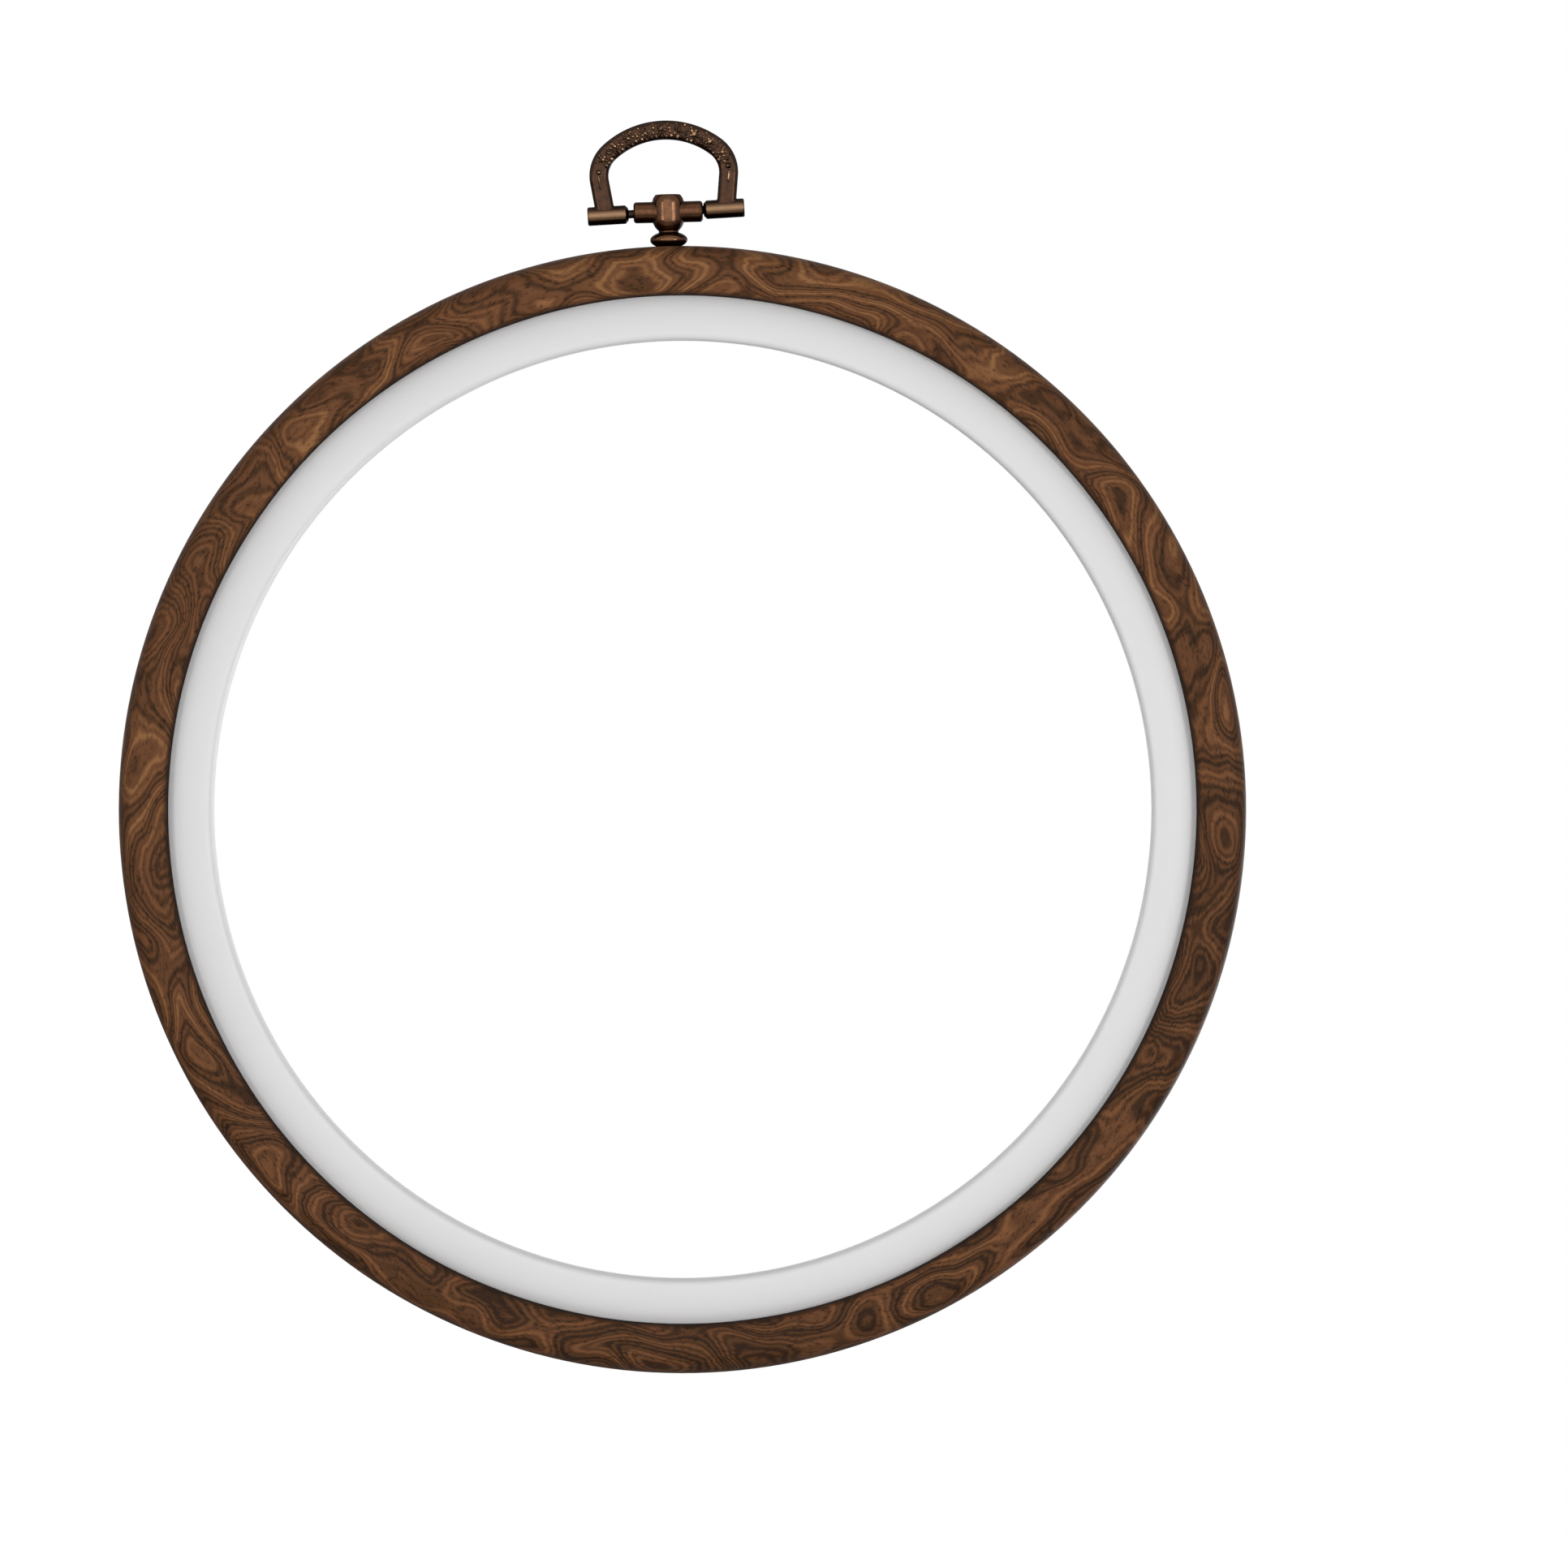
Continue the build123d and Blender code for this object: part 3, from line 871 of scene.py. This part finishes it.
@dataclass
class HangerLoop:
    """The loop's casting: a D-shaped bow with granulated rosettes, on two barrels with stub pins."""

    pivot_height: float
    bow_half_width: float = 8.5
    bow_height: float = 10.75
    arch_rise: float = 1.55
    shoulder_radius: float = 4.2
    leg_angle: float = 7.5
    bow_width: float = 2.5
    bow_thickness: float = 2.0
    edge_round: float = 0.7
    edge_steps: int = 5
    leg_steps: int = 10
    shoulder_steps: int = 24
    arch_steps: int = 40
    barrel_start: float = 4.93
    barrel_length: float = 5.35
    barrel_radius: float = 1.22
    inner_chamfer: float = 0.4
    outer_chamfer: float = 0.15
    stub_radius: float = 0.55
    stub_length: float = 2.3
    stub_chamfer: float = 0.12
    loop_lean: float = 2.0
    side_shift: float = 0.28
    beading_end: float = 9.7
    rosette_pitch: float = 2.2
    rosette_heart: float = 0.62
    petal_size: float = 0.38
    petals: int = 5
    seed_size: float = 0.38
    seed_offset: float = 0.7
    drop_travel: float = 10.6
    drop_head: float = 0.6
    drop_length: float = 1.9
    drop_width: float = 0.3
    granule_splits: int = 2
    unevenness: float = 0.11
    chance_seed: int = 11
    # Depths past the bow's face where the bright colour of rubbed metal and painted highlight starts and is
    # full.
    rub_glint_start: float = 0.03
    rub_glint_full: float = 0.16
    finish: AntiqueBronze = field(default_factory=AntiqueBronze)

    def __post_init__(self) -> None:
        """Works out the bow's arcs, and seeds the unevenness of its ornament."""
        self.chance = Random(self.chance_seed)
        self.shoulder_x = self.bow_half_width - self.shoulder_radius
        self.shoulder_z = self.bow_height - self.arch_rise - self.shoulder_radius
        arch_drop = (self.shoulder_x ** 2 - self.arch_rise ** 2) / (2 * self.arch_rise)
        self.arch_radius = self.shoulder_radius + self.arch_rise + arch_drop
        self.arch_angle = atan2(self.shoulder_x, arch_drop)

    def bow(self) -> BMesh:
        """Sweeps a rounded bar up the right leg, over the arch and down the left leg."""
        mesh = bmesh.new()
        size = Matrix.Diagonal((self.bow_width, self.bow_thickness, 1.0, 1.0))
        corners = bmesh.ops.create_grid(mesh, x_segments=1, y_segments=1, size=1 / 2, matrix=size)["verts"]
        bmesh.ops.bevel(mesh, geom=corners, offset=self.edge_round, affect="VERTICES",
                        segments=self.edge_steps, profile=0.5, material=-1)
        bmesh.ops.delete(mesh, geom=mesh.faces[:], context="FACES_ONLY")
        lean = radians(self.leg_angle)
        top = Vector((self.shoulder_x + self.shoulder_radius * cos(lean), 0.0,
                      self.shoulder_z - self.shoulder_radius * sin(lean)))
        rise = Vector((top.z * tan(lean), 0.0, top.z))
        seat = Matrix.Translation(top - rise) @ Matrix.Rotation(lean, 4, "Y")
        bmesh.ops.transform(mesh, matrix=seat, verts=mesh.verts)
        bend = radians(RIGHT_ANGLE) - self.arch_angle + lean
        axis = Vector((0.0, 1.0, 0.0))
        trail = Trail(mesh, mesh.verts[:] + mesh.edges[:])
        trail.push(rise, self.leg_steps)
        for x, z, angle, steps in (
                (self.shoulder_x, self.shoulder_z, bend, self.shoulder_steps),
                (0.0, self.bow_height - self.arch_radius, 2 * self.arch_angle, self.arch_steps),
                (-self.shoulder_x, self.shoulder_z, bend, self.shoulder_steps)):
            trail.turn(Vector((x, 0.0, z)), axis, -angle, steps)
        trail.push(Vector((rise.x, 0.0, -rise.z)), self.leg_steps)
        bmesh.ops.holes_fill(mesh, edges=mesh.edges, sides=0)
        bmesh.ops.recalc_face_normals(mesh, faces=mesh.faces)
        return mesh

    def barrel(self, side: float) -> BMesh:
        """Turns one barrel and its stub pin, on the right where side is one, on the left where minus one."""
        start, end = self.barrel_start, self.barrel_start + self.barrel_length
        tip, chamfer = start - self.stub_length, self.stub_chamfer
        outline = Outline((0.0, tip), (self.stub_radius - chamfer, tip), (self.stub_radius, tip + chamfer),
                          (self.stub_radius, start), (self.barrel_radius - self.inner_chamfer, start),
                          (self.barrel_radius, start + self.inner_chamfer),
                          (self.barrel_radius, end - self.outer_chamfer),
                          (self.barrel_radius - self.outer_chamfer, end), (0.0, end))
        return outline.lathe(TURNED_STEPS, Matrix.Rotation(-side * pi / 2, 4, "Z"))

    def bow_point(self, travel: float, offset: float) -> tuple[Vector, float]:
        """Finds a place on the bow.

        Args:
            travel: distance from the top along the bow's middle line, negative to the left.
            offset: distance outwards from the middle line.

        Returns:
            The point in the loop's frame, and the direction outwards, in radians from straight up.
        """
        arch_length = self.arch_radius * self.arch_angle
        last_angle = radians(RIGHT_ANGLE + self.leg_angle)
        shoulder_length = self.shoulder_radius * (last_angle - self.arch_angle)
        distance = abs(travel)
        past = max(0.0, distance - arch_length - shoulder_length)
        if distance <= arch_length:
            angle, radius = distance / self.arch_radius, self.arch_radius
            centre = Vector((0.0, 0.0, self.bow_height - self.arch_radius))
        else:
            angle = min(last_angle, self.arch_angle + (distance - arch_length) / self.shoulder_radius)
            radius = self.shoulder_radius
            centre = Vector((self.shoulder_x, 0.0, self.shoulder_z))
        outwards = Vector((sin(angle), 0.0, cos(angle)))
        along = Vector((cos(angle), 0.0, -sin(angle)))
        point = centre + outwards * (radius + offset) + along * past
        if travel < 0:
            point.x, angle = -point.x, -angle
        return point, angle

    def face_height(self, offset: float) -> float:
        """Distance of the bow's front face from its middle plane, at an offset from its middle line."""
        flat = self.bow_width / 2 - self.edge_round
        past = max(0.0, abs(offset) - flat)
        return self.bow_thickness / 2 - self.edge_round + sqrt(self.edge_round ** 2 - past ** 2)

    def add_granule(self, mesh: BMesh, travel: float, offset: float, size: Vector) -> None:
        """Adds one granule to both faces of the bow, a little off its place and size as old castings are.

        Args:
            mesh: the bmesh of the ornament.
            travel: place along the bow.
            offset: place across the bow.
            size: the granule's length along the bow, height and width.
        """
        for side in (-1.0, 1.0):
            stray = [self.chance.uniform(-self.unevenness, self.unevenness) for _ in range(3)]
            point, angle = self.bow_point(travel + stray[0], offset + stray[1])
            turned = Matrix.Rotation(angle, 4, "Y")
            seat = Matrix.Translation((point.x, side * self.face_height(offset), point.z))
            grown = 1 / 2 + stray[2]
            shape = Matrix.Diagonal((size.x * grown, size.y * grown, size.z * grown, 1.0))
            bmesh.ops.create_icosphere(mesh, subdivisions=self.granule_splits, radius=1.0,
                                       matrix=seat @ turned @ shape)

    def ornament(self) -> BMesh:
        """Lays rosettes and seeds along the bow's middle, granules at each edge and a drop on each leg."""
        mesh = bmesh.new()
        widths = (self.rosette_heart, self.petal_size, self.seed_size, self.drop_head)
        heart, petal, seed, head = [Vector((w, w, w)) for w in widths]
        petal_reach = (self.rosette_heart + self.petal_size) / 2
        count = int(self.beading_end / self.rosette_pitch)
        for i in range(-count, count + 1):
            travel = i * self.rosette_pitch
            self.add_granule(mesh, travel, 0.0, heart)
            for k in range(self.petals):
                way = 2 * pi * k / self.petals
                self.add_granule(mesh, travel + petal_reach * cos(way), petal_reach * sin(way), petal)
            for side in (-1.0, 1.0):
                between = travel + self.rosette_pitch / 2
                self.add_granule(mesh, between, side * self.seed_size * self.seed_offset, seed)
        for row in BeadRow:
            share, pitch, width = row.value
            count = int(self.beading_end / pitch)
            for i in range(-count, count + 1):
                self.add_granule(mesh, i * pitch, share * self.bow_width / 2, Vector((width, width, width)))
        tail = Vector((self.drop_length, self.drop_width, self.drop_width))
        for side in (-1.0, 1.0):
            self.add_granule(mesh, side * self.drop_travel, 0.0, head)
            self.add_granule(mesh, side * (self.drop_travel + (head.x + tail.x) / 2), 0.0, tail)
        return mesh

    def build(self) -> Object:
        """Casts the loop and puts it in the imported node's place."""
        whole = self.bow()
        for shape in (self.barrel(1.0), self.barrel(-1.0), self.ornament()):
            add_shape(whole, shape)
        place = (Matrix.Translation((-self.side_shift, 0.0, self.pivot_height))
                 @ Matrix.Rotation(radians(-self.loop_lean), 4, "Y"))
        bmesh.ops.transform(whole, matrix=place, verts=whole.verts)
        loop = to_object(whole, "bronze_loop")
        cast(loop)
        # The front-most spots get the bright colour: rubbed metal, and painted highlight on the granules and
        # along the barrels.
        face = self.bow_thickness / 2
        wear_and_glint = WearAndGlint((face + self.rub_glint_start, face + self.rub_glint_full), self.pivot_height, self.barrel_radius)
        dress(loop, self.finish.build("antique_bronze_loop", wear_and_glint))
        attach(loop, "hanger_loop")
        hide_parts("hanger_loop")
        return loop


@dataclass
class HangerPost:
    """The post's casting: a foot bead, a neck, a rounded body, two bosses and the bore through them."""

    pivot_height: float
    foot_radius: float = 1.5
    bead_radius: float = 2.45
    bead_height: float = 1.9
    neck_radius: float = 1.3
    neck_height: float = 0.25
    body_radius: float = 2.07
    body_top_radius: float = 1.6
    body_below: float = 2.45
    body_above: float = 2.3
    side_below: float = 0.9
    side_above: float = 1.2
    boss_radius: float = 1.38
    boss_reach: float = 4.53
    boss_chamfer: float = 0.25
    bore_radius: float = 0.8
    tap_radius: float = 1.0
    tap_depth: float = 2.9
    overrun: float = 1.0
    under_steps: int = 16
    shoulder_steps: int = 12
    body_steps: int = 96
    drill_steps: int = 48
    sharp_angle: float = 50.0
    rub_glint_reach: float = 4.0
    finish: AntiqueBronze = field(default_factory=lambda: AntiqueBronze(metal="#5C3A24"))

    def foot(self) -> BMesh:
        """Makes the lens-shaped bead and the neck, cut flat where they sit on the ring."""
        base = self.pivot_height - self.body_below
        neck_base = base - self.neck_height
        seat = neck_base - self.bead_height
        middle = (neck_base + seat) / 2
        half_height = self.bead_height / 2 / sin(acos(self.neck_radius / self.bead_radius))
        mesh = bmesh.new()
        bead = Matrix.Diagonal((self.bead_radius, self.bead_radius, half_height, 1.0))
        bmesh.ops.create_uvsphere(mesh, u_segments=TURNED_STEPS, v_segments=TURNED_STEPS // 2, radius=1.0,
                                  matrix=Matrix.Translation((0.0, 0.0, middle)) @ bead)
        for radius, low, high in ((self.foot_radius, seat - self.overrun, middle),
                                  (self.neck_radius, middle, base + self.overrun)):
            bmesh.ops.create_cone(mesh, cap_ends=True, segments=TURNED_STEPS, radius1=radius, radius2=radius,
                                  depth=high - low,
                                  matrix=Matrix.Translation((0.0, 0.0, (low + high) / 2)))
        cut = bmesh.ops.bisect_plane(mesh, geom=mesh.verts[:] + mesh.edges[:] + mesh.faces[:],
                                     plane_co=(0.0, 0.0, seat), plane_no=(0.0, 0.0, 1.0), clear_inner=True)
        rims = [g for g in cut["geom_cut"] if isinstance(g, BMEdge)]
        bmesh.ops.holes_fill(mesh, edges=rims, sides=0)
        bmesh.ops.recalc_face_normals(mesh, faces=mesh.faces)
        return mesh

    def body(self) -> BMesh:
        """Turns the body: a curved underside, a short straight side and a curved shoulder."""
        side_low, side_high = self.pivot_height - self.side_below, self.pivot_height + self.side_above
        base, top = self.pivot_height - self.body_below, self.pivot_height + self.body_above
        under_radius, under_angle = easing_arc(side_low - base, self.body_radius - self.neck_radius)
        over_radius, over_angle = easing_arc(top - side_high, self.body_radius - self.body_top_radius)
        outline = Outline((0.0, base), (self.neck_radius, base))
        outline.arc(self.body_radius - under_radius, side_low, self.under_steps, under_angle)
        outline.line_to(self.body_radius, side_high)
        outline.arc(self.body_radius - over_radius, side_high, self.shoulder_steps, over_angle)
        outline.line_to(0.0, top)
        return outline.lathe(self.body_steps, ON_END)

    def bosses(self) -> BMesh:
        """Turns the bar that makes both side bosses."""
        reach, inner = self.boss_reach, self.boss_radius - self.boss_chamfer
        outline = Outline((0.0, -reach), (inner, -reach), (self.boss_radius, self.boss_chamfer - reach),
                          (self.boss_radius, reach - self.boss_chamfer), (inner, reach), (0.0, reach))
        return outline.lathe(TURNED_STEPS, self.bar_place())

    def bar_place(self) -> Matrix:
        """Matrix that lays a turned shape along the crossbar."""
        return Matrix.Translation((0.0, 0.0, self.pivot_height)) @ Matrix.Rotation(-pi / 2, 4, "Z")

    def drill(self, post: Object, radius: float, reach: Pair, place: Matrix) -> None:
        """Drills a plain hole in the post.

        Args:
            post: the casting.
            radius: the hole's radius.
            reach: where the drill starts and ends along its axis.
            place: matrix that lays the drill where it cuts.
        """
        low, high = reach
        outline = Outline((0.0, low), (radius, low), (radius, high), (0.0, high))
        cut_away(post, to_object(outline.lathe(self.drill_steps, place), "drill"))

    def build(self) -> Object:
        """Casts the post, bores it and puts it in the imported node's place."""
        whole = self.foot()
        for shape in (self.body(), self.bosses()):
            add_shape(whole, shape)
        post = to_object(whole, "bronze_post")
        cast(post)
        seat = self.pivot_height - self.body_below - self.neck_height - self.bead_height
        through = self.boss_reach + self.overrun
        self.drill(post, self.bore_radius, (-through, through), self.bar_place())
        self.drill(post, self.tap_radius, (seat - self.overrun, seat + self.tap_depth), ON_END)
        post.data.set_sharp_from_angle(angle=radians(self.sharp_angle))
        # The body's front gets the bright colour: rubbed metal and painted highlight.
        depths = (self.boss_radius, self.boss_radius + self.rub_glint_reach)
        wear_and_glint = WearAndGlint(depths, self.pivot_height, self.pivot_height - seat)
        dress(post, self.finish.build("antique_bronze_post", wear_and_glint))
        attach(post, "hanger_post")
        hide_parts("hanger_post")
        return post


@dataclass
class Fastening:
    """The screw and washer inside the rim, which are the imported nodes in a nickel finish."""

    finish: DullNickel = field(default_factory=DullNickel)

    def build(self, nodes: dict[str, Object]) -> None:
        """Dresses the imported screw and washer."""
        nickel = self.finish.build()
        for name in ("fixing_screw", "screw_washer"):
            dress(nodes[name], nickel)


class SoftBox(Enum):
    """Lamps: watts, side in millimetres, and degrees to the right of the front and above the hoop."""

    RIGHT = (5.6, 500.0, 39.0, -1.0)
    LEFT = (2.4, 220.0, -41.0, 0.0)
    FRONT = (8.0, 1500.0, -4.0, 5.0)
    BACK = (8.0, 900.0, 140.0, -18.0)


@dataclass
class Studio:
    """Camera, lamps, paper floor and surroundings."""

    pixels_per_mm: float = 9.41
    hoop_centre_px: Pair = (841.0, 997.5)
    roll: float = 1.38
    distance: float = 1800.0
    sensor_width: float = 36.0
    clip_m: Pair = (0.01, 100.0)
    lamp_distance: float = 1500.0
    floor_drop: float = 900.0
    floor_size: float = 24000.0
    sky: float = 0.3

    def camera(self) -> None:
        """Puts a long lens straight in front of the hoop, turned as the photograph is."""
        right_px = PICTURE_WIDTH_PX / 2 - self.hoop_centre_px[0]
        up_px = self.hoop_centre_px[1] - PICTURE_HEIGHT_PX / 2
        turn = radians(self.roll)
        right = Vector((cos(turn), 0.0, -sin(turn)))
        up = Vector((sin(turn), 0.0, cos(turn)))
        aim = (right * right_px + up * up_px) / self.pixels_per_mm
        data = bpy.data.cameras.new("camera")
        data.sensor_width = self.sensor_width
        data.lens = self.sensor_width * self.distance * self.pixels_per_mm / PICTURE_WIDTH_PX
        data.clip_start, data.clip_end = self.clip_m
        backwards = Vector((0.0, -1.0, 0.0))
        place = Matrix((right, up, backwards)).transposed().to_4x4()
        place.translation = (aim + backwards * self.distance) * MM
        camera = add_object("camera", data)
        camera.matrix_world = place
        bpy.context.scene.camera = camera

    def lamp(self, box: SoftBox) -> None:
        """Adds a soft square lamp aimed at the hoop."""
        power, size, rightwards, upwards = box.value
        turn, lift = radians(rightwards), radians(upwards)
        place = Vector((sin(turn) * cos(lift), -cos(turn) * cos(lift), sin(lift))) * self.lamp_distance
        data = bpy.data.lights.new(box.name.lower() + "_box", "AREA")
        data.shape, data.size, data.energy = "SQUARE", size * MM, power
        aim = (-place).to_track_quat("-Z", "Y").to_matrix().to_4x4()
        add_object(data.name, data).matrix_world = Matrix.Translation(place * MM) @ aim

    def surroundings(self) -> None:
        """Shows white to the camera and in reflections, and lights matt surfaces more gently."""
        world = bpy.data.worlds.new("surroundings")
        world.use_nodes = True
        sheet = Sheet(world.node_tree)
        rays = sheet.add("LightPath").outputs
        seen = sheet.math("ADD", rays["Is Camera Ray"], rays["Is Transmission Ray"])
        shown = sheet.math("ADD", seen, rays["Is Glossy Ray"], clamped=True)
        strength = sheet.span(shown, UNIT_SPAN, (self.sky, 1.0))
        sheet.add("OutputWorld", {0: sheet.get("Background", {0: WHITE, 1: strength})})
        bpy.context.scene.world = world

    def floor(self) -> None:
        """Lays paper below the hanging hoop."""
        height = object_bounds()[0].z / MM - self.floor_drop
        mesh = bmesh.new()
        bmesh.ops.create_grid(mesh, x_segments=1, y_segments=1, size=self.floor_size / 2,
                              matrix=Matrix.Translation((0.0, 0.0, height)))
        paper = to_object(mesh, "paper_floor")
        dress(paper, PalePaper().build())
        paper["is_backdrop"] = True

    def build(self) -> None:
        """Sets up the whole studio."""
        self.camera()
        self.surroundings()
        self.floor()
        for box in SoftBox:
            self.lamp(box)
        bpy.context.scene.view_settings.view_transform = "Standard"


def main() -> None:
    """Builds the studio and the dressed hoop, piece by piece."""
    logging.basicConfig(level=logging.INFO, format="%(message)s")
    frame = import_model()
    Studio().build()
    opening = next(m for m in frame["record"]["mounts"] if m["name"] == "work_opening")
    pivot = next(j for j in frame["joints"] if j["name"] == "hanger_pivot")
    pivot_height = pivot["pos_m"][2] / MM
    rim = OuterRing()
    white = InnerRing(rim, opening["dims"]["r_mm"])
    for maker in (rim, white, HangerPost(pivot_height), HangerLoop(pivot_height)):
        piece = maker.build()
        LOG.info("made %s with %d faces", piece.name, len(piece.data.polygons))
    Fastening().build(frame["nodes"])


if __name__ == "__main__":
    main()
